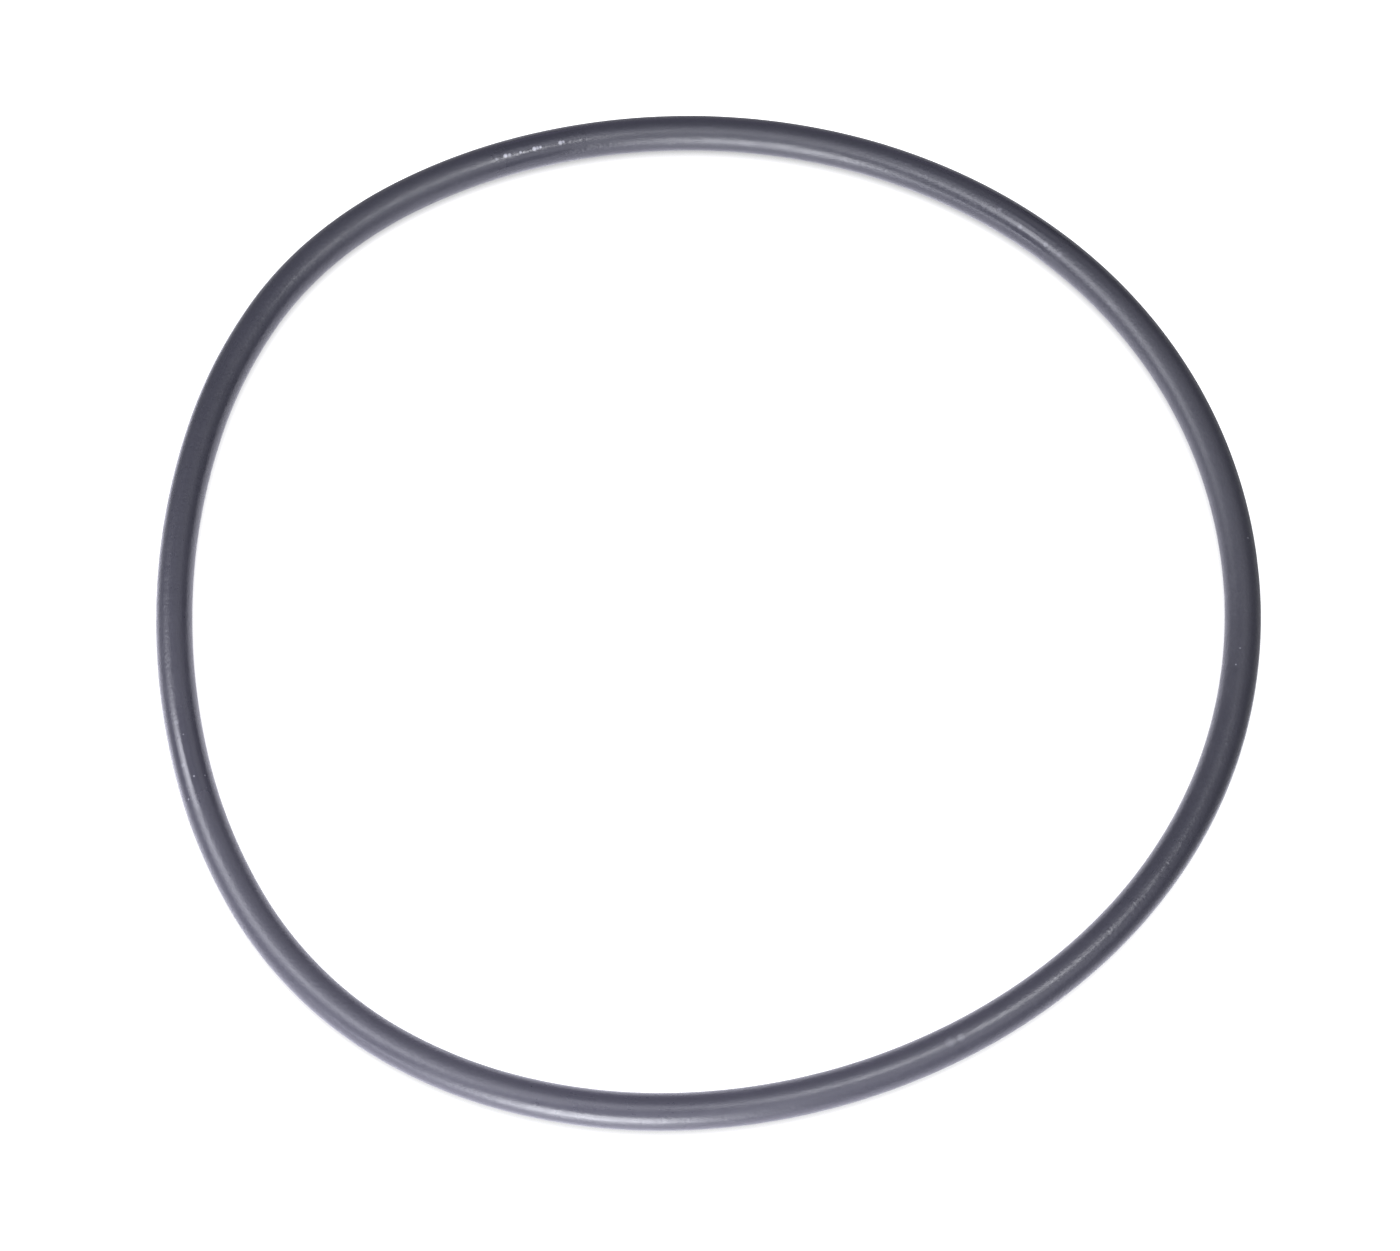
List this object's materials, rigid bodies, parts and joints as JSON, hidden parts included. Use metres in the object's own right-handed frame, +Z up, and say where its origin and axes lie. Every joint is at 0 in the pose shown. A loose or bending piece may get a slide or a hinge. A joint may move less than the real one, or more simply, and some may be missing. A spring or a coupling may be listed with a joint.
{
  "type": "rubber o-ring",
  "caption": "Solid rubber sealing ring with a round section, lying slack and slightly out of round on a flat surface.",
  "frame": {"origin": "middle of the ring's box, on the surface that the ring lies on", "axes": "+Z points up out of the surface along the ring's own axis, +X points to the right and +Y to the back as the picture shows the ring"},
  "size_m": [0.107, 0.1074, 0.0035],
  "materials": {
    "rubber": "satin, black with a faint blue cast"
  },
  "bodies": {
    "root": {"o_ring": "rubber"}
  },
  "joints": []
}
